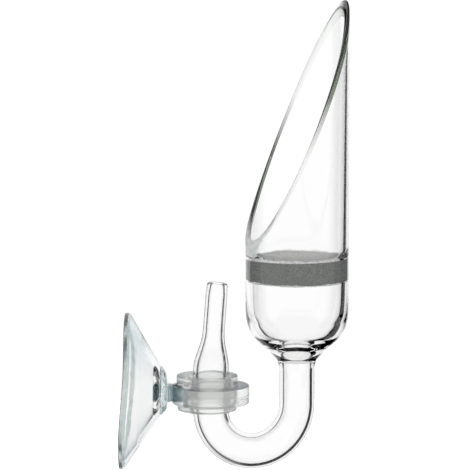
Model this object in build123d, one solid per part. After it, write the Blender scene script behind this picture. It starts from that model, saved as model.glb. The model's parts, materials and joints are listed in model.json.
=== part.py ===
from build123d import *
from math import cos, radians, sin
import os

# All sizes are in millimetres. The suction cup's sealing face lies in the plane x = 0,
# with its centre at the origin. +X runs from the aquarium pane towards the glass stem, +Z is up.

# Suction cup, round about the X axis
RIM_RADIUS = 17.4
RIM_THICKNESS = 1.1
RIM_ROUND = 0.3
LIP_WIDTH = 1.2
SKIRT_DEPTH = 8.7
CAVITY_DEPTH = 7.3
BOSS_RADIUS = 4.7

# Arm and ring that carry the glass
HALF_GAP = 0.02
ARM_WIDTH = 7.0
ARM_TOP = 1.6
ARM_BOTTOM = -2.4
ARM_END = 11.4
ARM_ROUND = 0.8
ARM_FOOT_LENGTH = 1.6
ARM_FOOT_RADIUS = 3.1
STEM_X = 19.3
RING_RADIUS = 8.55
RING_TOP = 1.3
RING_BOTTOM = -2.7
RING_EDGE = 0.15

# Soft grommet: a sleeve through the ring with a collar above and below it
RUNNING_GAP = 0.05
STEM_GAP = 0.15
SLEEVE_RADIUS = 5.2
COLLAR_OFFSET = -0.8
UPPER_COLLAR_RADIUS = 6.8
UPPER_COLLAR_TOP = 3.55
LOWER_COLLAR_RADIUS = 6.6
LOWER_COLLAR_BOTTOM = -4.2
COLLAR_EDGE = 0.15

# Glass, drawn with the stem on the Z axis and the bowl towards +X, then swung into place
SWING_DEGREES = 18.5
TUBE_RADIUS = 4.0
TUBE_BORE = 3.0
LEG_SPACING = 20.3
BEND_Z = -4.0
LEAN_DEGREES = 4.5
LEAN_START = 3.6
LEAN_RADIUS = 16
NECK_Z = 4.5

# Hose nozzle, measured along its own leaning axis from the end of the bent tube
NOZZLE_LENGTH = 19.4
NOZZLE_RADIUS = 2.45
NOZZLE_BORE = 1.5
NOZZLE_FLARE = 8.6

# Gas bowl, disc and bubble shroud, round about the bowl's axis
BOWL_RADIUS = 11.55
BOWL_BORE = 9.95
SHOULDER_TOP = 16.5
DISC_BOTTOM = 24.0
DISC_TOP = 29.2
DISC_RADIUS = 9.65
DISC_EDGE = 0.15
BEAD_HEIGHT = 0.55
BEAD_WIDTH = 0.65
SHROUD_FOOT_BORE = 10.35
SHROUD_FOOT_TOP = 31.5
SHROUD_TIP_BORE = 10.85
CUT_LOW_Z = 32.0
CUT_TIP_Z = 87.6
CUT_SAG = 1.9
CUT_MARGIN = 0.5


def turned(outline, axis):
    """The solid swept by a closed outline turned once about an axis."""
    return revolve(make_face(outline), axis=axis)


def suction_skirt():
    """Thin flexible cone with a flat lip that seals on the pane."""
    lip_inner = RIM_RADIUS - LIP_WIDTH
    corner = RIM_ROUND * (1 - cos(radians(45)))
    lip = Line((0, lip_inner), (0, RIM_RADIUS - RIM_ROUND))
    rim_round = ThreePointArc(
        (0, RIM_RADIUS - RIM_ROUND),
        (corner, RIM_RADIUS - corner),
        (RIM_ROUND, RIM_RADIUS),
    )
    rim = Line((RIM_ROUND, RIM_RADIUS), (RIM_THICKNESS, RIM_RADIUS))
    cone = Line((RIM_THICKNESS, RIM_RADIUS), (SKIRT_DEPTH, BOSS_RADIUS))
    back = Line((SKIRT_DEPTH, BOSS_RADIUS), (SKIRT_DEPTH, 0))
    centre = Line((SKIRT_DEPTH, 0), (CAVITY_DEPTH, 0))
    cavity = Spline((CAVITY_DEPTH, 0), (6.2, 6.0), (3.0, 12.1), (0, lip_inner))
    return turned([lip, rim_round, rim, cone, back, centre, cavity], Axis.X)


def arm():
    """Short rounded arm from the middle of the suction cup to the ring."""
    start = SKIRT_DEPTH + HALF_GAP
    foot_end = start + ARM_FOOT_LENGTH
    foot_curve = ThreePointArc((start, BOSS_RADIUS), (start + 0.55, 3.6), (foot_end, ARM_FOOT_RADIUS))
    foot = turned(
        [
            Line((start, 0), (start, BOSS_RADIUS)),
            foot_curve,
            Line((foot_end, ARM_FOOT_RADIUS), (foot_end, 0)),
            Line((foot_end, 0), (start, 0)),
        ],
        Axis.X,
    )
    height = ARM_TOP - ARM_BOTTOM
    section = Plane.YZ.offset(start) * Pos(0, (ARM_TOP + ARM_BOTTOM) / 2)
    bar = extrude(section * RectangleRounded(ARM_WIDTH, height, ARM_ROUND), ARM_END - start)
    return foot + bar


def holder_ring():
    """The arm and the flat ring around the grommet."""
    height = RING_TOP - RING_BOTTOM
    plate = Pos(STEM_X, 0, RING_BOTTOM) * extrude(Circle(RING_RADIUS), height)
    plate = fillet(plate.edges(), RING_EDGE)
    bore = Circle(SLEEVE_RADIUS + RUNNING_GAP)
    hole = Pos(STEM_X, 0, RING_BOTTOM - 1) * extrude(bore, height + 2)
    return arm() + plate - hole


def collar(radius, near, far):
    """One collar of the grommet, rounded at its outer edge, off centre from the stem."""
    disc = extrude(Circle(radius), abs(far - near))
    disc = fillet(disc.edges(), COLLAR_EDGE)
    return Pos(STEM_X + COLLAR_OFFSET, 0, min(near, far)) * disc


def grip_grommet():
    """Soft sleeve that grips the glass stem, held in the ring by its two collars."""
    upper_foot = RING_TOP + HALF_GAP
    lower_foot = RING_BOTTOM - HALF_GAP
    sleeve_bottom = lower_foot - 1
    sleeve_height = upper_foot + 1 - sleeve_bottom
    sleeve = Pos(STEM_X, 0, sleeve_bottom) * extrude(Circle(SLEEVE_RADIUS), sleeve_height)
    body = sleeve + collar(UPPER_COLLAR_RADIUS, upper_foot, UPPER_COLLAR_TOP)
    body += collar(LOWER_COLLAR_RADIUS, lower_foot, LOWER_COLLAR_BOTTOM)
    bore_height = UPPER_COLLAR_TOP - LOWER_COLLAR_BOTTOM + 2
    bore = extrude(Circle(TUBE_RADIUS + STEM_GAP), bore_height)
    return body - Pos(STEM_X, 0, LOWER_COLLAR_BOTTOM - 1) * bore


def in_place(glass):
    """Swings a glass piece about the stem and moves it to the ring."""
    return Pos(STEM_X, 0, 0) * Rot(0, 0, SWING_DEGREES) * glass


def stem_route():
    """Centreline of the bent tube, from the foot of the nozzle to the bowl's neck."""
    half = LEG_SPACING / 2
    route = [
        CenterArc((LEAN_RADIUS, LEAN_START), LEAN_RADIUS, 180 - LEAN_DEGREES, LEAN_DEGREES),
        Line((0, LEAN_START), (0, BEND_Z)),
        CenterArc((half, BEND_Z), half, 180, 180),
        Line((LEG_SPACING, BEND_Z), (LEG_SPACING, NECK_Z)),
    ]
    return Plane.XZ * Wire(route)


def nozzle():
    """Tapering glass nozzle with a fire-rounded tip, drawn upright."""
    wall_middle = (NOZZLE_RADIUS + NOZZLE_BORE) / 2
    tip_round = (NOZZLE_RADIUS - NOZZLE_BORE) / 2
    tip_foot = NOZZLE_LENGTH - tip_round
    along = (0, 1)
    outer_flare = Spline(
        (TUBE_RADIUS, 0), (3.1, 4.2), (NOZZLE_RADIUS, NOZZLE_FLARE), tangents=(along, along)
    )
    outer_wall = Line((NOZZLE_RADIUS, NOZZLE_FLARE), (NOZZLE_RADIUS, tip_foot))
    tip = ThreePointArc(
        (NOZZLE_RADIUS, tip_foot), (wall_middle, NOZZLE_LENGTH), (NOZZLE_BORE, tip_foot)
    )
    inner_wall = Line((NOZZLE_BORE, tip_foot), (NOZZLE_BORE, NOZZLE_FLARE))
    inner_flare = Spline(
        (TUBE_BORE, 0), (2.1, 4.2), (NOZZLE_BORE, NOZZLE_FLARE), tangents=(along, along)
    )
    foot = Line((TUBE_BORE, 0), (TUBE_RADIUS, 0))
    outline = Plane.XZ * make_face([foot, outer_flare, outer_wall, tip, inner_wall, inner_flare])
    return revolve(outline, axis=Axis.Z)


def inlet_stem():
    """Nozzle and bent tube that bring the gas down, round and up to the bowl."""
    route = stem_route()
    start = Plane(origin=route @ 0, z_dir=route % 0)
    tube = sweep(start * Circle(TUBE_RADIUS), path=route)
    tube -= sweep(start * Circle(TUBE_BORE), path=route)
    foot_x = LEAN_RADIUS * (1 - cos(radians(LEAN_DEGREES)))
    foot_z = LEAN_START + LEAN_RADIUS * sin(radians(LEAN_DEGREES))
    leaning = Pos(foot_x, 0, foot_z) * Rot(0, LEAN_DEGREES, 0) * nozzle()
    return in_place(tube + leaning)


def on_bowl_axis(outline):
    """Turns a closed outline about the bowl's axis and puts it in place."""
    solid = revolve(Plane.XZ * make_face(outline), axis=Axis.Z)
    return in_place(Pos(LEG_SPACING, 0, 0) * solid)


def gas_bowl():
    """Glass cup under and around the disc, with a rounded shoulder and a neck."""
    up = (0, 1)
    shoulder = Spline(
        (TUBE_RADIUS, NECK_Z),
        (5.4, 7.0),
        (9.0, 10.4),
        (11.0, 13.5),
        (BOWL_RADIUS, SHOULDER_TOP),
        tangents=(up, up),
    )
    outer_wall = Line((BOWL_RADIUS, SHOULDER_TOP), (BOWL_RADIUS, DISC_TOP))
    top = Line((BOWL_RADIUS, DISC_TOP), (BOWL_BORE, DISC_TOP))
    inner_wall = Line((BOWL_BORE, DISC_TOP), (BOWL_BORE, SHOULDER_TOP + 1))
    hollow = Spline(
        (BOWL_BORE, SHOULDER_TOP + 1),
        (9.1, 13.9),
        (7.3, 11.6),
        (3.6, 7.6),
        (TUBE_BORE, NECK_Z),
        tangents=((0, -1), (0, -1)),
    )
    foot = Line((TUBE_BORE, NECK_Z), (TUBE_RADIUS, NECK_Z))
    return on_bowl_axis([shoulder, outer_wall, top, inner_wall, hollow, foot])


def bubble_shroud():
    """Open glass tube above the disc, cut on a long hollow slant to a tall tip away from the stem."""
    outline = Polyline(
        (BOWL_BORE, DISC_TOP),
        (BOWL_RADIUS, DISC_TOP),
        (BOWL_RADIUS, CUT_TIP_Z),
        (SHROUD_TIP_BORE, CUT_TIP_Z),
        (SHROUD_FOOT_BORE, SHROUD_FOOT_TOP),
        (BOWL_BORE, DISC_TOP),
    )
    tube = revolve(Plane.XZ * make_face(outline), axis=Axis.Z)
    reach = BOWL_RADIUS + CUT_MARGIN
    rise = (CUT_TIP_Z - CUT_LOW_Z) * reach / (2 * BOWL_RADIUS)
    middle = (CUT_TIP_Z + CUT_LOW_Z) / 2
    low = (-reach, middle - rise)
    tip = (reach, middle + rise)
    top = CUT_TIP_Z + 2 * reach
    slant = ThreePointArc(low, (0, middle - CUT_SAG), tip)
    cut = make_face([slant, Polyline(tip, (reach, top), (-reach, top), low)])
    above = extrude(Plane.XZ * cut, reach, both=True)
    return in_place(Pos(LEG_SPACING, 0, 0) * (tube - above))


def ceramic_disc():
    """Porous disc that breaks the gas into fine bubbles."""
    disc = Pos(0, 0, DISC_BOTTOM) * extrude(Circle(DISC_RADIUS), DISC_TOP - DISC_BOTTOM)
    disc = chamfer(disc.edges(), DISC_EDGE)
    return in_place(Pos(LEG_SPACING, 0, 0) * disc)


def disc_seal():
    """Ring of sealing glass between the disc and the bowl, with a bead on top."""
    outline = Polyline(
        (DISC_RADIUS, DISC_BOTTOM),
        (BOWL_BORE, DISC_BOTTOM),
        (BOWL_BORE, DISC_TOP + BEAD_HEIGHT),
        (BOWL_BORE - BEAD_WIDTH, DISC_TOP),
        (DISC_RADIUS, DISC_TOP),
        (DISC_RADIUS, DISC_BOTTOM),
    )
    return on_bowl_axis(outline)


PARTS = {
    "suction_skirt": suction_skirt,
    "holder_ring": holder_ring,
    "grip_grommet": grip_grommet,
    "inlet_stem": inlet_stem,
    "gas_bowl": gas_bowl,
    "bubble_shroud": bubble_shroud,
    "ceramic_disc": ceramic_disc,
    "disc_seal": disc_seal,
}

os.makedirs("parts", exist_ok=True)
for node, make in PARTS.items():
    export_step(make(), f"parts/{node}.step")
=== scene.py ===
import json
from math import atan2, cos, exp, pi, radians, sin, sqrt

import bmesh
import bpy
from mathutils import Matrix, Vector


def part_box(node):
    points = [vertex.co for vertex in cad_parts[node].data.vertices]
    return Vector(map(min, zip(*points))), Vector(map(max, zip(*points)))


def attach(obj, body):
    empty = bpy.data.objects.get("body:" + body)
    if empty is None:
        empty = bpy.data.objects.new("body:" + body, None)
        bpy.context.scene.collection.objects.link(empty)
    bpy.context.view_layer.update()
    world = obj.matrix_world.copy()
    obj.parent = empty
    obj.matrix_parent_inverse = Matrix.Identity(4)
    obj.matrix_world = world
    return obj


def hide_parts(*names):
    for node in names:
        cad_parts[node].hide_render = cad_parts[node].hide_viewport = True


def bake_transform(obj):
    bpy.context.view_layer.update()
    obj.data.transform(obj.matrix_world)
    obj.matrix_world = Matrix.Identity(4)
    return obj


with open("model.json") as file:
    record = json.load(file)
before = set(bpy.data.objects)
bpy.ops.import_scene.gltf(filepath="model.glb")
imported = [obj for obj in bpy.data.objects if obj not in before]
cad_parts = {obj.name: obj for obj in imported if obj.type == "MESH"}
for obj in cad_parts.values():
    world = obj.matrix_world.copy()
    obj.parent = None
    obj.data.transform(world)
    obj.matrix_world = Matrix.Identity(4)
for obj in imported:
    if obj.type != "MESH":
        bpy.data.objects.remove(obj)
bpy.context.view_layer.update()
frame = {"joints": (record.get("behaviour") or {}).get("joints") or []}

# Lengths are written in millimetres and turned into metres when a mesh is made.
MM = 0.001
AROUND = 128

# Corners and joint that the frame gives
shroud_low, shroud_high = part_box("bubble_shroud")
disc_low, disc_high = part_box("ceramic_disc")
grommet_low, grommet_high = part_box("grip_grommet")
ring_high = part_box("holder_ring")[1]
skirt_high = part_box("suction_skirt")[1]
swivel = next(joint for joint in frame["joints"] if joint["name"] == "swivel")

# Sizes that follow from them
STEM_X = swivel["pos_m"][0] / MM
BOWL_X = (shroud_low[0] + shroud_high[0]) / 2 / MM
BOWL_Y = (shroud_low[1] + shroud_high[1]) / 2 / MM
LEG_SPACING = sqrt((BOWL_X - STEM_X) ** 2 + BOWL_Y**2)
SWING = atan2(BOWL_Y, BOWL_X - STEM_X)
BOWL_RADIUS = (shroud_high[0] - shroud_low[0]) / 2 / MM
CUT_TIP = shroud_high[2] / MM
DISC_BOTTOM = disc_low[2] / MM
DISC_TOP = disc_high[2] / MM
RIM_RADIUS = skirt_high[1] / MM
RING_RADIUS = ring_high[1] / MM
GROMMET_TOP = grommet_high[2] / MM
GROMMET_BOTTOM = grommet_low[2] / MM

# Ring and grommet sizes
RING_TOP = 1.3
RING_BOTTOM = -2.7
RING_BORE = 5.24
SLEEVE_RADIUS = 5.18
UPPER_COLLAR_RADIUS = 6.8
LOWER_COLLAR_RADIUS = 6.6
COLLAR_OFFSET = 0.8

# Glass sizes, the same as the solids' or within the wall they leave
TUBE_RADIUS = 4.0
TUBE_BORE = 2.92
BEND_Z = -4.0
LEAN = radians(4.5)
LEAN_START = 3.6
LEAN_RADIUS = 16
NECK_Z = 4.5
NOZZLE_LENGTH = 19.4
NOZZLE_RADIUS = 2.45
NOZZLE_BORE = 1.6
NOZZLE_TIP_RADIUS = 2.3
NOZZLE_TIP_BORE = 1.35
NOZZLE_FLARE = 10.8
BOWL_BORE = 9.95
SHROUD_FOOT_BORE = 10.35
SHROUD_TIP_BORE = 10.85
CUT_LOW = 31.8
CUT_SAG = 1.9

# Lip of the cut, and the cloudy V under its lowest part
WALL_MIDDLE = 0.5
RIM_SWELL = 0.06
SWELL_REACH = 3.0
OUTER_SWELL_SHARE = 0.3
RIM_DEPTH = 1.1
TIP_THICKENING = 0.45
FROST_HALF_WIDTH = 7.0
FROST_DEPTH = 6.0

# Height at which the lip's olive, painted-dark side changes over, and how quickly it does, in height and
# across
LIP_CHANGE_Z = 58
LIP_CHANGE_SPAN = 16
LIP_HALF_WIDTH = 7

# Floor
FLOOR_Z = -130
FLOOR_RADIUS = 700

# Dark screens: degrees from straight ahead at which each starts, is full, begins to fade and ends
STRONG_SCREEN = (26, 31, 66, 74)
WEAK_SCREEN = (46, 50, 84, 92)

# Height of the line of sight above level
RISE = radians(7.5)


# Meshes


def smooth_step(t):
    """0 to 1 with level ends."""
    t = min(1.0, max(0.0, t))
    return t * t * (3 - 2 * t)


def between(a, b, t):
    """The value a share t of the way from a to b."""
    return a + (b - a) * t


def catmull_rom(a, b, c, d, t):
    """A value between b and c on a smooth curve through four values."""
    slope = (c - a) * t
    bend = (2 * a - 5 * b + 4 * c - d) * t**2
    turn = (3 * b - a - 3 * c + d) * t**3
    return 0.5 * (2 * b + slope + bend + turn)


def flow(points, steps):
    """Points on a Catmull-Rom curve through the given points, steps to each span."""
    padded = [points[0], *points, points[-1]]
    curve = []
    for i in range(len(points) - 1):
        four = padded[i : i + 4]
        for k in range(steps):
            curve.append(tuple(catmull_rom(*values, k / steps) for values in zip(*four)))
    curve.append(points[-1])
    return curve


def rounded(corners, steps=6):
    """An outline of (radius, height, corner radius) with its corners smoothed."""
    outline = []
    for i, (x, z, r) in enumerate(corners):
        if r == 0 or i in (0, len(corners) - 1):
            outline.append((x, z))
            continue
        here = Vector((x, z))
        before = Vector(corners[i - 1][:2]) - here
        after = Vector(corners[i + 1][:2]) - here
        half = before.angle(after) / 2
        reach = min(r / max(1e-6, abs(sin(half) / cos(half))), before.length / 2, after.length / 2)
        start = here + before.normalized() * reach
        end = here + after.normalized() * reach
        for k in range(steps + 1):
            t = k / steps
            outline.append(tuple(start * (1 - t) ** 2 + here * 2 * t * (1 - t) + end * t**2))
    return outline


def make_object(name, points, faces, materials):
    """A smooth-shaded mesh object, from points in millimetres."""
    mesh = bpy.data.meshes.new(name)
    mesh.from_pydata([tuple(c * MM for c in p) for p in points], [], faces)
    mesh.polygons.foreach_set("use_smooth", [True] * len(faces))
    for material in materials:
        mesh.materials.append(material)
    mesh.update()
    thing = bpy.data.objects.new(name, mesh)
    bpy.context.collection.objects.link(thing)
    return thing


def skin(name, rings, materials, closed=True):
    """A closed surface over rings of points. Without closed, each end ring gets a middle point."""
    n = len(rings[0])
    points = [p for ring in rings for p in ring]
    faces = []
    count = len(rings)
    for i in range(count if closed else count - 1):
        a, b = i * n, (i + 1) % count * n
        for k in range(n):
            m = (k + 1) % n
            faces.append((a + k, a + m, b + m, b + k))
    if not closed:
        for first, ring, turn in ((0, rings[0], -1), ((count - 1) * n, rings[-1], 1)):
            middle = len(points)
            points.append(tuple(sum(p[k] for p in ring) / n for k in range(3)))
            for k in range(n):
                pair = (first + k, first + (k + 1) % n)
                faces.append((middle, *pair[::turn]))
    thing = make_object(name, points, faces, materials)
    face_outwards(thing)
    return thing


def face_outwards(thing):
    """Turns a closed mesh the right way out if its volume comes out negative."""
    work = bmesh.new()
    work.from_mesh(thing.data)
    if work.calc_volume(signed=True) < 0:
        bmesh.ops.reverse_faces(work, faces=work.faces)
    work.to_mesh(thing.data)
    work.free()


def turned(name, outline, centre, materials, closed=True, shape=None, around=AROUND):
    """A piece turned about an upright axis through centre, from an outline of (radius, height)."""
    rings = []
    for r, z in outline:
        ring = []
        for k in range(around):
            angle = 2 * pi * k / around
            p = (centre[0] + r * cos(angle), centre[1] + r * sin(angle), z)
            ring.append(shape(p) if shape else p)
        rings.append(ring)
    return skin(name, rings, materials, closed)


# Glass body


def station_ring(x, z, direction, radius):
    """A ring of points round the tube's centreline at one place, in the glass's own frame."""
    dx, dz = direction
    ring = []
    for k in range(AROUND):
        angle = 2 * pi * k / AROUND
        across = radius * cos(angle)
        ring.append((x - dz * across, radius * sin(angle), z + dx * across))
    return ring


def nozzle_radius(s, tip, straight, foot):
    """Radius at a distance from the tip: a slightly drawn-in end, a straight part and a flare."""
    drawn = tip + (straight - tip) * smooth_step(s / 3)
    flare = smooth_step((s - NOZZLE_FLARE) / (NOZZLE_LENGTH - NOZZLE_FLARE)) ** 1.1
    return drawn + (foot - straight) * flare


def nozzle_ring(back, radius):
    """A ring round the leaning nozzle, at a distance back from its foot."""
    foot_x = LEAN_RADIUS * (1 - cos(LEAN))
    foot_z = LEAN_START + LEAN_RADIUS * sin(LEAN)
    place = (foot_x + back * sin(LEAN), foot_z + back * cos(LEAN))
    return station_ring(*place, (-sin(LEAN), -cos(LEAN)), radius)


def nozzle_rings(tip, straight, foot, start_s):
    """Rings from near the tip to the foot of the nozzle."""
    rings = []
    steps = 44
    for k in range(steps):
        s = between(start_s, NOZZLE_LENGTH, k / steps)
        rings.append(nozzle_ring(NOZZLE_LENGTH - s, nozzle_radius(s, tip, straight, foot)))
    return rings


def tube_rings(radius):
    """Rings along the bent tube, from the nozzle's foot to the neck of the bowl."""
    rings = []
    for k in range(4):
        angle = LEAN * (1 - k / 4)
        place = (LEAN_RADIUS * (1 - cos(angle)), LEAN_START + LEAN_RADIUS * sin(angle))
        rings.append(station_ring(*place, (-sin(angle), -cos(angle)), radius))
    for k in range(8):
        rings.append(station_ring(0, between(LEAN_START, BEND_Z, k / 8), (0, -1), radius))
    half = LEG_SPACING / 2
    turns = 72
    for k in range(turns):
        angle = pi * k / turns
        place = (half - half * cos(angle), BEND_Z - half * sin(angle))
        rings.append(station_ring(*place, (sin(angle), -cos(angle)), radius))
    for k in range(6):
        rings.append(station_ring(LEG_SPACING, between(BEND_Z, NECK_Z, k / 6), (0, 1), radius))
    return rings


def bowl_rings(profile):
    """Rings up the bowl from an outline of (radius, height)."""
    return [station_ring(LEG_SPACING, z, (0, 1), r) for r, z in profile]


def cut_height(across):
    """Height of the slanted, slightly hollow cut at a distance from the bowl's axis, towards the tip."""
    share = across / BOWL_RADIUS
    middle = (CUT_TIP + CUT_LOW) / 2
    return middle + (CUT_TIP - CUT_LOW) / 2 * share + CUT_SAG * (share**2 - 1)


def shroud_bore(z):
    """Inner radius of the shroud: a short taper from the bowl, then a long slow one."""
    foot = between(BOWL_BORE, SHROUD_FOOT_BORE, smooth_step((z - DISC_TOP) / 1.6))
    return foot + (SHROUD_TIP_BORE - SHROUD_FOOT_BORE) * max(0, z - DISC_TOP) / (CUT_TIP - DISC_TOP)


def lip_swell(z, top):
    """How far the fire-rounded lip stands proud of the wall."""
    return RIM_SWELL * exp(-(((top - z) / SWELL_REACH) ** 2))


def shroud_point(angle, share, inner):
    """A point of the shroud's wall, share of the way from the disc to the cut."""
    across = cos(angle)
    wall = BOWL_RADIUS - WALL_MIDDLE
    top = cut_height(-across * wall) - RIM_DEPTH
    z = between(DISC_TOP, top, share)
    swell = lip_swell(z, top)
    thick = TIP_THICKENING * smooth_step((z - CUT_TIP + 14) / 12)
    if inner:
        r = shroud_bore(z) - swell - thick
    else:
        r = BOWL_RADIUS - RIM_SWELL * OUTER_SWELL_SHARE + swell * OUTER_SWELL_SHARE
    return (LEG_SPACING - r * across, r * sin(angle), z)


def shroud_rings(inner):
    """Rings from the disc to just under the lip; they lean from level to the slant of the cut."""
    steps = 72
    rings = []
    for i in range(1, steps + 1):
        share = i / steps
        rings.append([shroud_point(2 * pi * k / AROUND, share, inner) for k in range(AROUND)])
    return rings


def lip_rings():
    """The rounded lip, from the outside of the wall over to the inside."""
    steps = 10
    rings = []
    for i in range(1, steps):
        turn = pi * i / steps
        ring = []
        for k in range(AROUND):
            angle = 2 * pi * k / AROUND
            outer = shroud_point(angle, 1, False)
            inner = shroud_point(angle, 1, True)
            share = (1 - cos(turn)) / 2
            x, y, z = (between(a, b, share) for a, b in zip(outer, inner))
            lean = cut_height(x - LEG_SPACING) - cut_height(-cos(angle) * (BOWL_RADIUS - WALL_MIDDLE))
            ring.append((x, y, z + lean * sin(turn) + RIM_DEPTH * 0.9 * sin(turn)))
        rings.append(ring)
    return rings


def tip_rings(outer, inner):
    """The rounded end of the nozzle, from the bore over to the outside."""
    steps = 8
    rings = []
    half = (outer - inner) / 2
    for i in range(1, steps):
        turn = pi * i / steps
        back = NOZZLE_LENGTH - half + half * sin(turn)
        rings.append(nozzle_ring(back, inner + half * (1 - cos(turn))))
    return rings


def in_frosted_corner(p):
    """Whether a point of the shroud lies in the cloudy V under the lowest part of the cut."""
    across = p.x - LEG_SPACING
    reach = 1 - abs(p.y) / FROST_HALF_WIDTH
    below_cut = cut_height(across) - p.z
    return across < 0 and p.z > DISC_TOP + 0.6 and reach > 0 and below_cut < FROST_DEPTH * reach


def glass_body(material, lip_material):
    """The whole flame-worked glass piece: nozzle, bent tube, bowl and shroud as one closed skin."""
    tip_round = (NOZZLE_TIP_RADIUS - NOZZLE_TIP_BORE) / 2
    outer_bowl = flow(
        [
            (TUBE_RADIUS, NECK_Z),
            (4.5, 6.0),
            (5.7, 7.4),
            (7.5, 9.0),
            (9.2, 10.7),
            (10.5, 12.6),
            (11.25, 14.8),
            (11.5, 17.0),
            (11.52, 20.5),
            (11.5, DISC_TOP),
        ],
        8,
    )
    inner_bowl = flow(
        [
            (TUBE_BORE, NECK_Z),
            (2.9, 6.2),
            (2.85, 7.6),
            (3.15, 8.8),
            (4.1, 9.8),
            (5.5, 10.6),
            (6.9, 11.6),
            (8.1, 12.8),
            (9.1, 14.7),
            (9.75, 17.2),
            (BOWL_BORE, 22.0),
            (BOWL_BORE, DISC_TOP),
        ],
        8,
    )
    outer = (
        nozzle_rings(NOZZLE_TIP_RADIUS, NOZZLE_RADIUS, TUBE_RADIUS, tip_round)
        + tube_rings(TUBE_RADIUS)
        + bowl_rings(outer_bowl)
        + shroud_rings(False)
    )
    lip = lip_rings()
    inner = (
        nozzle_rings(NOZZLE_TIP_BORE, NOZZLE_BORE, TUBE_BORE, tip_round)
        + tube_rings(TUBE_BORE)
        + bowl_rings(inner_bowl)
        + shroud_rings(True)
    )
    tip = tip_rings(NOZZLE_TIP_RADIUS, NOZZLE_TIP_BORE)
    rings = outer + lip + inner[::-1] + tip
    glass = skin("glass_body", rings, [material, lip_material])
    first = (len(outer) - 4) * AROUND
    last = (len(outer) + len(lip) + 2) * AROUND
    for face in glass.data.polygons:
        on_lip = first <= min(face.vertices) and max(face.vertices) <= last
        if on_lip or in_frosted_corner(face.center / MM):
            face.material_index = 1
    glass.data.transform(Matrix.Rotation(SWING, 4, "Z"))
    glass.data.transform(Matrix.Translation((STEM_X * MM, 0, 0)))
    return glass


def disc_piece(top_material, shaded_side_material):
    """The porous disc, with worn edges, a slightly uneven outline and a side in painted shade."""
    edge = 0.35
    radius = BOWL_BORE + 0.06
    outline = rounded(
        [
            (0.001, DISC_TOP, 0),
            (3, DISC_TOP, 0),
            (6, DISC_TOP, 0),
            (8.5, DISC_TOP, 0),
            (radius, DISC_TOP, edge),
            (radius, DISC_BOTTOM, edge),
            (8.5, DISC_BOTTOM, 0),
            (4, DISC_BOTTOM, 0),
            (0.001, DISC_BOTTOM, 0),
        ]
    )
    disc = turned("porous_disc", outline, (BOWL_X, BOWL_Y), [top_material, shaded_side_material], closed=False)
    # Faces that stand upright take the darker copy of the ceramic, as painted shade.
    for face in disc.data.polygons:
        if abs(face.normal.z) < 0.5:
            face.material_index = 1
    return disc


def bead(name, radius, height, thick, material, ripple):
    """An uneven bead of sealing glass round an edge of the disc."""
    rings = []
    for k in range(3 * AROUND):
        angle = 2 * pi * k / (3 * AROUND)
        wave = ripple * (sin(7 * angle + 1) + 0.7 * sin(19 * angle) + 0.5 * sin(43 * angle + 2)) / 2.2
        r0 = radius + 0.3 * wave
        ring = []
        for m in range(12):
            turn = 2 * pi * m / 12
            r = r0 + thick * (1 + wave) * cos(turn)
            z = height + 0.5 * wave * thick + thick * (1 + wave) * 0.8 * sin(turn)
            ring.append((BOWL_X + r * cos(angle), BOWL_Y + r * sin(angle), z))
        rings.append(ring)
    return skin(name, rings, [material])


def suction_cup(material, rim_material, thick_material):
    """Soft cup, thick middle and arm as one moulding, turned about the X axis."""
    lip_inner = RIM_RADIUS - 1.2
    arm_end = 13.6
    # Each corner: distance from the axis, distance from the pane, corner radius
    hollow = [(0.001, 7.3, 0), (2.5, 7.2, 0), (6.0, 6.1, 2.0), (12.0, 3.0, 4.0)]
    rim = [(lip_inner, 0.0, 0.6), (RIM_RADIUS, 0.0, 0.3), (RIM_RADIUS, 0.9, 0.35)]
    shoulder = [(RIM_RADIUS - 0.3, 1.35, 0.4), (5.4, 8.3, 1.2), (4.9, 9.6, 0.6), (2.9, 9.9, 0.8)]
    arm = [(2.9, arm_end, 0), (0.001, arm_end, 0)]
    outline = rounded(hollow + rim + shoulder + arm, steps=8)
    rings = []
    for r, x in outline:
        ring = []
        for k in range(AROUND):
            angle = 2 * pi * k / AROUND
            ring.append(cup_point(r, x, angle))
        rings.append(ring)
    cup = skin("suction_cup", rings, [material, rim_material, thick_material], closed=False)
    for face in cup.data.polygons:
        middle = face.center / MM
        if sqrt(middle.y**2 + middle.z**2) > lip_inner + 0.35:
            face.material_index = 1
        if middle.x > 7.9:
            face.material_index = 2
    return cup


def cup_point(r, x, angle):
    """Shapes a turned point into the real cup: an oval arm, a seam and a rim that hangs askew."""
    seam_height = 0.12
    seam_width = 0.16
    across_arm = 1.2
    down_arm = 0.68
    arm_drop = 0.4
    seam = seam_height * exp(-((sin(angle) * r / seam_width) ** 2)) * smooth_step((x - 1.5) / 1.5)
    y = (r + seam) * cos(angle)
    z = (r + seam) * sin(angle)
    arm = smooth_step((x - 8.6) / 1.6)
    y *= between(1, across_arm, arm)
    z = z * between(1, down_arm, arm) - arm_drop * arm
    share = (r / RIM_RADIUS) ** 2
    sway = -0.4 + 0.7 * sin(pi * (z + 2) / 28) + 0.05 * sin(5 * angle)
    return (x + share * sway, y, z)


def holder_ring(material):
    """The flat ring round the grommet, with crisp edges and its parting line."""
    bore = RING_BORE
    middle = (RING_TOP + RING_BOTTOM) / 2
    outline = rounded(
        [
            (bore, middle, 0),
            (bore, RING_TOP, 0.15),
            (RING_RADIUS, RING_TOP, 0.2),
            (RING_RADIUS, middle + 0.12, 0.1),
            (RING_RADIUS + 0.08, middle, 0.06),
            (RING_RADIUS, middle - 0.12, 0.1),
            (RING_RADIUS, RING_BOTTOM, 0.2),
            (bore, RING_BOTTOM, 0.15),
            (bore, middle - 0.01, 0),
        ]
    )
    return turned("ring_band", outline, (STEM_X, 0), [material])


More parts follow.
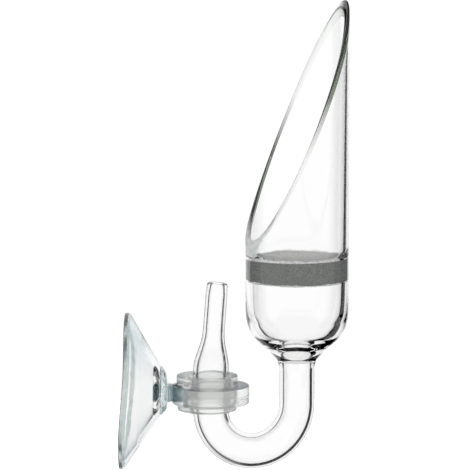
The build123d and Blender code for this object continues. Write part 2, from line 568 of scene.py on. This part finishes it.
def grommet(material):
    """Soft sleeve with an upper and a lower collar, off centre as the real one hangs."""
    bore = TUBE_RADIUS + 0.05
    sleeve = SLEEVE_RADIUS
    upper = UPPER_COLLAR_RADIUS
    lower = LOWER_COLLAR_RADIUS
    upper_foot = RING_TOP + 0.02
    lower_foot = RING_BOTTOM - 0.02
    outline = rounded(
        [
            (bore, -0.5, 0),
            (bore, GROMMET_TOP, 0.2),
            (upper, GROMMET_TOP, 0.2),
            (upper, upper_foot, 0.15),
            (sleeve, upper_foot, 0),
            (sleeve, lower_foot, 0),
            (lower, lower_foot, 0.15),
            (lower, GROMMET_BOTTOM, 0.2),
            (bore, GROMMET_BOTTOM, 0.2),
            (bore, -0.51, 0),
        ]
    )

    def off_centre(p):
        reach = sqrt((p[0] - STEM_X) ** 2 + p[1] ** 2)
        share = smooth_step((reach - sleeve) / (lower - 0.6 - sleeve))
        return (p[0] - COLLAR_OFFSET * share, p[1], p[2])

    return turned("grommet", outline, (STEM_X, 0), [material], shape=off_centre)


# Materials


def new_material(name):
    """A node material: gives back the material, its node tree and its Principled shader."""
    material = bpy.data.materials.new(name)
    material.use_nodes = True
    tree = material.node_tree
    shader = tree.nodes["Principled BSDF"]
    return material, tree, shader


def add(tree, kind, **values):
    """A node with its properties and input values set."""
    node = tree.nodes.new(kind)
    for key, value in values.items():
        if key.startswith("in_"):
            node.inputs[key[3:].replace("_", " ")].default_value = value
        else:
            setattr(node, key, value)
    return node


def ramp(tree, source, stops):
    """A colour ramp fed by a socket."""
    node = tree.nodes.new("ShaderNodeValToRGB")
    while len(node.color_ramp.elements) < len(stops):
        node.color_ramp.elements.new(0.5)
    for element, (place, colour) in zip(node.color_ramp.elements, stops):
        element.position = place
        element.color = colour
    tree.links.new(source, node.inputs["Fac"])
    return node


def grey(value):
    """A neutral colour."""
    return (value, value, value, 1)


def noise(tree, scale, detail=4):
    """Noise in the object's own space; scale is in features per metre."""
    place = tree.nodes.new("ShaderNodeTexCoord")
    node = add(tree, "ShaderNodeTexNoise", in_Scale=scale, in_Detail=detail)
    tree.links.new(place.outputs["Object"], node.inputs["Vector"])
    return node


def own_space(tree):
    """The three coordinates of a surface point in the object's own space, in metres."""
    place = tree.nodes.new("ShaderNodeTexCoord")
    parts = tree.nodes.new("ShaderNodeSeparateXYZ")
    tree.links.new(place.outputs["Object"], parts.inputs[0])
    return parts.outputs


def normal_up(tree):
    """How far a surface faces upwards in the object's own space."""
    place = tree.nodes.new("ShaderNodeTexCoord")
    parts = tree.nodes.new("ShaderNodeSeparateXYZ")
    tree.links.new(place.outputs["Normal"], parts.inputs[0])
    return parts.outputs[2]


def math_node(tree, operation, *inputs):
    """A math node fed by sockets or numbers; gives back its output socket."""
    node = tree.nodes.new("ShaderNodeMath")
    node.operation = operation
    for socket, value in zip(node.inputs, inputs):
        if isinstance(value, (int, float)):
            socket.default_value = value
        else:
            tree.links.new(value, socket)
    return node.outputs[0]


def flat(tree, colour):
    """A plain colour, for mixing into a patterned one."""
    node = tree.nodes.new("ShaderNodeRGB")
    node.outputs[0].default_value = colour
    return node.outputs[0]


def clamped(tree, source, low, high):
    """A value kept between two limits."""
    return math_node(tree, "MINIMUM", math_node(tree, "MAXIMUM", source, low), high)


def mixed(tree, share, first, second):
    """A colour between two colours."""
    node = tree.nodes.new("ShaderNodeMix")
    node.data_type = "RGBA"
    tree.links.new(share, node.inputs["Factor"])
    tree.links.new(first, node.inputs[6])
    tree.links.new(second, node.inputs[7])
    return node.outputs[2]


def bump(tree, shader, source, strength, distance):
    """Relief on the surface, from the heights that a socket gives."""
    node = add(tree, "ShaderNodeBump", in_Strength=strength, in_Distance=distance)
    tree.links.new(source, node.inputs["Height"])
    tree.links.new(node.outputs["Normal"], shader.inputs["Normal"])
    return node


def glass_material():
    """Clear glass whose transmitted light falls off where it is seen edge-on."""
    material, tree, shader = new_material("clear_glass")
    shader.inputs["Roughness"].default_value = 0.0
    shader.inputs["IOR"].default_value = 1.47
    shader.inputs["Transmission Weight"].default_value = 1.0
    facing = add(tree, "ShaderNodeLayerWeight", in_Blend=0.5)
    clear = (0.975, 0.978, 0.975, 1)
    tint = ramp(tree, facing.outputs["Facing"], [(0, clear), (0.8, clear), (1, (0.74, 0.77, 0.74, 1))])
    thin = ramp(tree, facing.outputs["Facing"], [(0, clear), (0.5, clear), (0.9, (0.03, 0.035, 0.03, 1))])
    # The narrow tubes look darker edge-on than the wide bowl, which lies further from the pane
    x = own_space(tree)[0]
    place = math_node(tree, "MULTIPLY", x, 1 / (2 * STEM_X * MM))
    narrow = ramp(tree, place, [(0.62, grey(1)), (0.66, grey(0))])
    colour = mixed(tree, narrow.outputs["Color"], tint.outputs["Color"], thin.outputs["Color"])
    tree.links.new(colour, shader.inputs["Base Color"])
    return material


def lip_material():
    """Fire-polished lip: olive where the wall is thickest, darkened to near black as painted dark refraction
    lines, and cloudy at its lowest corner.
    """
    material, tree, shader = new_material("lip_glass")
    shader.inputs["IOR"].default_value = 1.47
    x, y, z = own_space(tree)
    side_x = math_node(tree, "MULTIPLY_ADD", x, -sin(SWING), BOWL_X * MM * sin(SWING))
    side_y = math_node(tree, "MULTIPLY_ADD", y, cos(SWING), -BOWL_Y * MM * cos(SWING))
    side = math_node(tree, "ADD", side_x, side_y)
    side = math_node(tree, "MULTIPLY", side, 1 / (LIP_HALF_WIDTH * MM))
    slope = 1 / (LIP_CHANGE_SPAN * MM)
    height = math_node(tree, "MULTIPLY_ADD", z, slope, -LIP_CHANGE_Z / LIP_CHANGE_SPAN)
    # The olive is the thick glass's own tint; its darkening to near black, on a side that changes over with
    # height and on the near side by the tip, is painted dark refraction lines.
    twist = clamped(tree, math_node(tree, "MULTIPLY", side, height), -1, 0.6)
    olive = math_node(tree, "MULTIPLY_ADD", twist, -0.5, 0.5)
    tip = ramp(tree, math_node(tree, "MULTIPLY", z, 1 / (CUT_TIP * MM)), [(0.9, grey(0)), (0.95, grey(1))])
    nearer = ramp(tree, math_node(tree, "MULTIPLY_ADD", side, 0.5, 0.5), [(0.45, grey(1)), (0.75, grey(0))])
    tip = math_node(tree, "MULTIPLY", tip.outputs["Color"], nearer.outputs["Color"])
    olive = math_node(tree, "MAXIMUM", olive, tip)
    colour = ramp(tree, olive, [(0.1, (0.93, 0.95, 0.93, 1)), (0.85, (0.04, 0.055, 0.035, 1))])
    low = ramp(tree, math_node(tree, "MULTIPLY", z, 1 / (60 * MM)), [(0.58, grey(1)), (0.66, grey(0))])
    cloud = noise(tree, 1500, 3)
    mist = ramp(tree, cloud.outputs["Fac"], [(0.3, (0.52, 0.54, 0.53, 1)), (0.7, (0.86, 0.87, 0.86, 1))])
    tint = mixed(tree, low.outputs["Color"], colour.outputs["Color"], mist.outputs["Color"])
    tree.links.new(tint, shader.inputs["Base Color"])
    tree.links.new(math_node(tree, "MULTIPLY", low.outputs["Color"], 0.35), shader.inputs["Roughness"])
    through = math_node(tree, "MULTIPLY_ADD", low.outputs["Color"], -0.45, 1.0)
    tree.links.new(through, shader.inputs["Transmission Weight"])
    bump(tree, shader, cloud.outputs["Fac"], 0.05, 0.0001)
    return material


def ceramic_material(name, dark, light, depth):
    """Porous fired ceramic: fine speckle, pits and soft mottling."""
    material, tree, shader = new_material(name)
    shader.inputs["Roughness"].default_value = 0.95
    shader.inputs["Specular IOR Level"].default_value = 0.2
    grain = noise(tree, 3200, 8)
    colour = ramp(tree, grain.outputs["Fac"], [(0.36, dark), (0.64, light)])
    tree.links.new(colour.outputs["Color"], shader.inputs["Base Color"])
    bump(tree, shader, grain.outputs["Fac"], 0.6, depth)
    return material


def bead_material():
    """Cloudy white sealing glass, lumpy and half melted."""
    material, tree, shader = new_material("sealing_glass")
    lumps = noise(tree, 2600, 4)
    colour = ramp(tree, lumps.outputs["Fac"], [(0.3, (0.82, 0.83, 0.83, 1)), (0.5, (1.0, 1.0, 1.0, 1))])
    tree.links.new(colour.outputs["Color"], shader.inputs["Base Color"])
    shader.inputs["Transmission Weight"].default_value = 0.1
    shader.inputs["IOR"].default_value = 1.47
    rough = ramp(tree, lumps.outputs["Fac"], [(0.3, grey(0.15)), (0.7, grey(0.4))])
    tree.links.new(rough.outputs["Color"], shader.inputs["Roughness"])
    bump(tree, shader, lumps.outputs["Fac"], 0.5, 0.0001)
    return material


def clear_vinyl():
    """Soft clear plastic of the cup's thin cone, with a painted grey-blue reflection towards its upper edge.
    """
    material, tree, shader = new_material("clear_vinyl")
    shader.inputs["IOR"].default_value = 1.16
    shader.inputs["Transmission Weight"].default_value = 1.0
    z = own_space(tree)[2]
    facing = add(tree, "ShaderNodeLayerWeight", in_Blend=0.5)
    clear = (0.965, 0.972, 0.972, 1)
    edges = ramp(tree, facing.outputs["Facing"], [(0, clear), (0.55, clear), (1, (0.62, 0.70, 0.72, 1))])
    haze = noise(tree, 170, 5)
    # Painted reflection: a grey-blue tint, broken up by noise, mixed in towards the cup's upper edge.
    high = math_node(tree, "MULTIPLY", z, 1 / (20 * MM))
    reflection_height = math_node(tree, "ADD", high, math_node(tree, "MULTIPLY", haze.outputs["Fac"], 0.8))
    painted_reflection_tint = ramp(tree, reflection_height, [(0.7, grey(0)), (0.96, grey(0.6))])
    tint = mixed(tree, painted_reflection_tint.outputs["Color"], edges.outputs["Color"], flat(tree, (0.70, 0.77, 0.80, 1)))
    tree.links.new(tint, shader.inputs["Base Color"])
    rough = ramp(tree, haze.outputs["Fac"], [(0.3, grey(0.02)), (0.75, grey(0.12))])
    tree.links.new(rough.outputs["Color"], shader.inputs["Roughness"])
    bump(tree, shader, haze.outputs["Fac"], 0.15, 0.0003)
    return material


def thick_vinyl():
    """The same plastic in the cup's solid middle and its arm, teal because it is thick."""
    material, tree, shader = new_material("thick_vinyl")
    shader.inputs["IOR"].default_value = 1.45
    shader.inputs["Transmission Weight"].default_value = 1.0
    shader.inputs["Roughness"].default_value = 0.05
    x = own_space(tree)[0]
    haze = noise(tree, 700, 4)
    along_arm = math_node(tree, "MULTIPLY", x, 1 / (20 * MM))
    waver = math_node(tree, "MULTIPLY_ADD", haze.outputs["Fac"], 0.06, -0.03)
    along_arm = math_node(tree, "ADD", along_arm, waver)
    stops = [(0.40, (0.80, 0.86, 0.87, 1)), (0.47, (0.42, 0.53, 0.56, 1)), (0.55, (0.10, 0.175, 0.19, 1))]
    colour = ramp(tree, along_arm, stops)
    tree.links.new(colour.outputs["Color"], shader.inputs["Base Color"])
    bump(tree, shader, haze.outputs["Fac"], 0.15, 0.0001)
    return material


def rim_vinyl():
    """The cup's rim, a thicker band of the same plastic, which looks grey-green edge-on."""
    material, tree, shader = new_material("rim_vinyl")
    shader.inputs["IOR"].default_value = 1.25
    shader.inputs["Transmission Weight"].default_value = 0.85
    haze = noise(tree, 400, 4)
    colour = ramp(tree, haze.outputs["Fac"], [(0.3, (0.30, 0.36, 0.35, 1)), (0.7, (0.48, 0.55, 0.53, 1))])
    tree.links.new(colour.outputs["Color"], shader.inputs["Base Color"])
    shader.inputs["Roughness"].default_value = 0.15
    bump(tree, shader, haze.outputs["Fac"], 0.1, 0.0002)
    return material


def milky_vinyl():
    """Milky soft plastic: level striations, painted shadow lines where the tiers meet, teal beside the arm,
    and a painted dark reflection on upper faces at its far end.
    """
    material, tree, shader = new_material("milky_vinyl")
    shader.inputs["IOR"].default_value = 1.2
    shader.inputs["Transmission Weight"].default_value = 0.84
    x, _, z = own_space(tree)
    cloud = noise(tree, 450, 5)
    body = ramp(tree, cloud.outputs["Fac"], [(0.3, (0.97, 0.98, 0.97, 1)), (0.7, (1.0, 1.0, 0.99, 1))])
    place = tree.nodes.new("ShaderNodeTexCoord")
    lines = add(tree, "ShaderNodeTexWave", bands_direction="Z", in_Scale=520, in_Distortion=2.5, in_Detail=3)
    tree.links.new(place.outputs["Object"], lines.inputs["Vector"])
    grooves = ramp(tree, lines.outputs["Fac"], [(0.1, grey(0.75)), (0.35, grey(0))])
    lined = mixed(tree, grooves.outputs["Color"], body.outputs["Color"], flat(tree, (0.93, 0.95, 0.94, 1)))
    # Painted shadow lines: thin dark bands at the heights where the collars sit on the ring.
    level_z = math_node(tree, "MULTIPLY_ADD", z, 1 / (10 * MM), 0.5)
    half_width = 0.014
    stops = []
    for edge in (RING_BOTTOM, RING_TOP):
        middle = edge / 10 + 0.5
        stops += [(middle - half_width, grey(0)), (middle, grey(0.85)), (middle + half_width, grey(0))]
    painted_tier_shadows = ramp(tree, level_z, stops)
    lined = mixed(tree, painted_tier_shadows.outputs["Color"], lined, flat(tree, (0.22, 0.26, 0.25, 1)))
    facing = add(tree, "ShaderNodeLayerWeight", in_Blend=0.5)
    rim = ramp(tree, facing.outputs["Facing"], [(0.72, grey(0)), (0.95, grey(0.8))])
    edged = mixed(tree, rim.outputs["Color"], lined, flat(tree, (0.38, 0.43, 0.41, 1)))
    beside = ramp(tree, math_node(tree, "MULTIPLY", x, 1 / (20 * MM)), [(0.55, grey(0.8)), (0.68, grey(0))])
    teal = mixed(tree, beside.outputs["Color"], edged, flat(tree, (0.15, 0.25, 0.29, 1)))
    # Painted dark reflection: level upper faces towards the far end are coloured dark navy, standing in for a
    # dark screen reflected there.
    level = math_node(tree, "GREATER_THAN", normal_up(tree), 0.9)
    painted_reflection_end = ramp(tree, math_node(tree, "MULTIPLY", x, 1 / (30 * MM)), [(0.77, grey(0)), (0.81, grey(0.85))])
    shade = math_node(tree, "MULTIPLY", level, painted_reflection_end.outputs["Color"])
    tint = mixed(tree, shade, teal, flat(tree, (0.05, 0.07, 0.10, 1)))
    tree.links.new(tint, shader.inputs["Base Color"])
    rough = ramp(tree, cloud.outputs["Fac"], [(0.3, grey(0.14)), (0.7, grey(0.24))])
    tree.links.new(rough.outputs["Color"], shader.inputs["Roughness"])
    bump(tree, shader, lines.outputs["Fac"], 0.1, 0.00006)
    return material


# Surroundings


def floor():
    """A wide pale floor well below the object, which hangs on an upright pane."""
    white, _, shader = new_material("pale_floor")
    shader.inputs["Base Color"].default_value = grey(0.85)
    shader.inputs["Roughness"].default_value = 0.9
    shader.inputs["Emission Color"].default_value = grey(1)
    shader.inputs["Emission Strength"].default_value = 0.6
    top = [(0.001, FLOOR_Z), (FLOOR_RADIUS / 2, FLOOR_Z), (FLOOR_RADIUS, FLOOR_Z)]
    outline = top + [(FLOOR_RADIUS, FLOOR_Z - 1), (0.001, FLOOR_Z - 1)]
    ground = turned("floor", outline, (BOWL_X, BOWL_Y), [white], closed=False, around=96)
    ground.visible_transmission = False
    ground.visible_glossy = False
    return ground


def along(tree, direction, axis):
    """How far a direction points along a fixed axis."""
    node = tree.nodes.new("ShaderNodeVectorMath")
    node.operation = "DOT_PRODUCT"
    tree.links.new(direction, node.inputs[0])
    node.inputs[1].default_value = axis
    return node.outputs["Value"]


def screen(tree, away, angles):
    """How dark a screen is at an angle from straight ahead, given as a share of half a turn."""
    start, full, fading, end = (angle / 180 for angle in angles)
    stops = [(start, grey(0)), (full, grey(1)), (fading, grey(1)), (end, grey(0))]
    return ramp(tree, away, stops).outputs["Color"]


def studio_world():
    """A white room whose dark screens are met only by light that glass has reflected.

    They draw the dark lines along the walls: strongest to the right of and below the line of
    sight that the object is lit for, weaker to its left and above. All else sees plain white.
    """
    world = bpy.data.worlds.new("studio")
    world.use_nodes = True
    bpy.context.scene.world = world
    tree = world.node_tree
    background = tree.nodes["Background"]
    background.inputs["Strength"].default_value = 1.03
    place = tree.nodes.new("ShaderNodeTexCoord")
    direction = place.outputs["Generated"]
    ahead = along(tree, direction, (0, cos(RISE), -sin(RISE)))
    right = along(tree, direction, (1, 0, 0))
    down = along(tree, direction, (0, -sin(RISE), -cos(RISE)))
    away = math_node(tree, "DIVIDE", math_node(tree, "ARCCOSINE", ahead), pi)
    turn = math_node(tree, "ARCTAN2", down, right)
    # Left is 0 and 1, up is 0.25, right is 0.5 and down is 0.75
    share = math_node(tree, "MULTIPLY_ADD", turn, 0.5 / pi, 0.5)
    low_right = ramp(
        tree,
        share,
        [(0.46, grey(0)), (0.475, grey(1)), (0.75, grey(1)), (0.82, grey(0.5)), (0.9, grey(0))],
    )
    others = ramp(
        tree,
        share,
        [(0.0, grey(0.95)), (0.1, grey(0.9)), (0.2, grey(0.65)), (0.46, grey(0.8)), (0.9, grey(0.95))],
    )
    first = math_node(tree, "MULTIPLY", screen(tree, away, STRONG_SCREEN), low_right.outputs["Color"])
    second = math_node(tree, "MULTIPLY", screen(tree, away, WEAK_SCREEN), others.outputs["Color"])
    dark = math_node(tree, "MAXIMUM", first, second)
    ray = tree.nodes.new("ShaderNodeLightPath")
    reflected = math_node(tree, "MINIMUM", ray.outputs["Glossy Depth"], 1.0)
    light = math_node(tree, "MULTIPLY_ADD", math_node(tree, "MULTIPLY", dark, reflected), -1.0, 1.0)
    tree.links.new(light, background.inputs["Color"])


def soft_light(name, place, size, power):
    """A square area light aimed at the middle of the object."""
    data = bpy.data.lights.new(name, "AREA")
    data.size = size
    data.energy = power
    light = bpy.data.objects.new(name, data)
    light.location = place
    middle = Vector((0.025, 0.004, 0.03))
    aim = middle - Vector(place)
    light.rotation_mode = "QUATERNION"
    light.rotation_quaternion = aim.to_track_quat("-Z", "Y")
    bpy.context.collection.objects.link(light)


def camera():
    """A long lens a little above the object, square to the suction cup's axis."""
    data = bpy.data.cameras.new("camera")
    data.sensor_width = 36
    field = 0.1044
    distance = 0.75
    data.lens = data.sensor_width * distance / field
    view = bpy.data.objects.new("camera", data)
    target = Vector((0.0247, 0.0035, 0.0345))
    back = Vector((0, -cos(RISE), sin(RISE)))
    view.location = target + back * distance
    view.rotation_mode = "QUATERNION"
    view.rotation_quaternion = (-back).to_track_quat("-Z", "Y")
    data.clip_start = 0.01
    data.clip_end = 20
    bpy.context.collection.objects.link(view)
    bpy.context.scene.camera = view


def build():
    """Makes every piece, hides the solids it replaces and hangs the pieces that ride on a body from that
    body.
    """
    glass = glass_body(glass_material(), lip_material())
    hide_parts("inlet_stem", "gas_bowl", "bubble_shroud")
    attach(glass, "glass")

    # The side is a darker copy of the face material: painted shade for the disc's side, which sits in shade
    # inside the glass.
    top = ceramic_material("ceramic_face", (0.32, 0.32, 0.315, 1), (0.62, 0.62, 0.615, 1), 0.0001)
    side = ceramic_material("ceramic_side_painted_shade", (0.16, 0.165, 0.16, 1), (0.29, 0.30, 0.29, 1), 0.00006)
    disc = disc_piece(top, side)
    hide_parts("ceramic_disc")
    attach(disc, "glass")

    white = bead_material()
    upper = bead("seal_bead", BOWL_BORE - 0.18, DISC_TOP + 0.06, 0.27, white, 0.5)
    lower = bead("seal_line", BOWL_BORE + 0.04, DISC_BOTTOM, 0.2, white, 0.9)
    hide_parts("disc_seal")
    for piece in (upper, lower):
        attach(piece, "glass")

    cup = suction_cup(clear_vinyl(), rim_vinyl(), thick_vinyl())
    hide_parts("suction_skirt")
    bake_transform(cup)

    milky = milky_vinyl()
    band = holder_ring(milky)
    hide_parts("holder_ring")
    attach(band, "holder")

    soft = grommet(milky)
    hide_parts("grip_grommet")
    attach(soft, "grommet")


bpy.context.scene.view_settings.view_transform = "Standard"
camera()
studio_world()
floor()
soft_light("key", (-0.35, -0.45, 0.55), 0.35, 1.5)
build()
